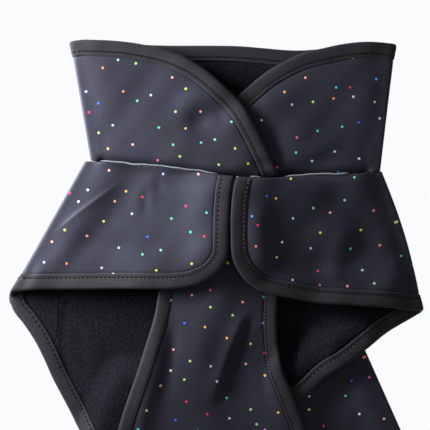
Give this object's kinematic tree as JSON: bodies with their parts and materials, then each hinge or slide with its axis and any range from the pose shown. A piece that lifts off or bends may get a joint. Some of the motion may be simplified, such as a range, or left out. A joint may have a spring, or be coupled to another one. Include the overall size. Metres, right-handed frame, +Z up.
{
  "type": "dog winter coat",
  "caption": "Softshell dog coat with a crossed collar, chest flaps and a bib, laid flat with the chest side up.",
  "frame": {"origin": "centre of the bounding box's bottom face, on the surface that the coat lies on", "axes": "+Y from the tail towards the collar, +X to the right as the chest side is seen from above, +Z up from the surface"},
  "size_m": [0.328, 0.5102, 0.0172],
  "materials": {
    "softshell": "matt knit face with small printed dots, fleece inside",
    "tape": "matt stretch binding tape",
    "reflective": "grey reflective piping"
  },
  "bodies": {
    "root": {"collar": "softshell", "collar_binding": "tape", "left_flap": "softshell", "right_flap": "softshell", "back_panel": "softshell", "left_binding": "tape", "right_binding": "tape", "bib": "softshell", "bib_binding": "tape", "rear_body": "softshell", "rear_binding": "tape", "piping_left": "reflective", "piping_middle": "reflective", "piping_right": "reflective"}
  },
  "joints": []
}
